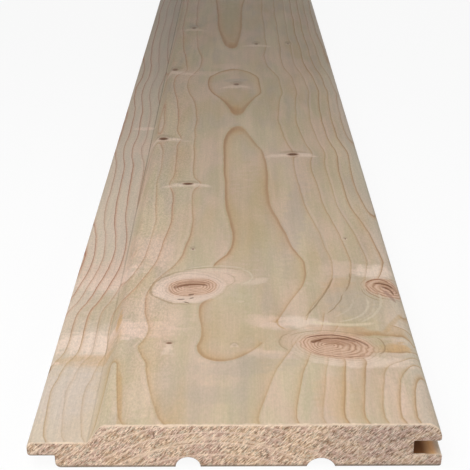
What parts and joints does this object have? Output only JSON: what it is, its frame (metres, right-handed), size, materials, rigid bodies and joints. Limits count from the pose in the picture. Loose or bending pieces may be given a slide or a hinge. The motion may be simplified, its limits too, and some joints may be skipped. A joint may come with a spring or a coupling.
{
  "type": "tongue and groove board",
  "caption": "Planed softwood board with a tongue along the left edge, a groove in the right edge, a bevelled shadow recess, a rounded nose and relief channels in the back.",
  "frame": {"origin": "middle of the back, on the surface that the board lies on, halfway along its length", "axes": "+Y along the grain, +X towards the grooved edge, +Z out of the good face"},
  "size_m": [0.145, 1, 0.018],
  "materials": {
    "softwood": "planed, unfinished"
  },
  "bodies": {
    "root": {"tongue_and_groove_board": "softwood"}
  },
  "joints": []
}
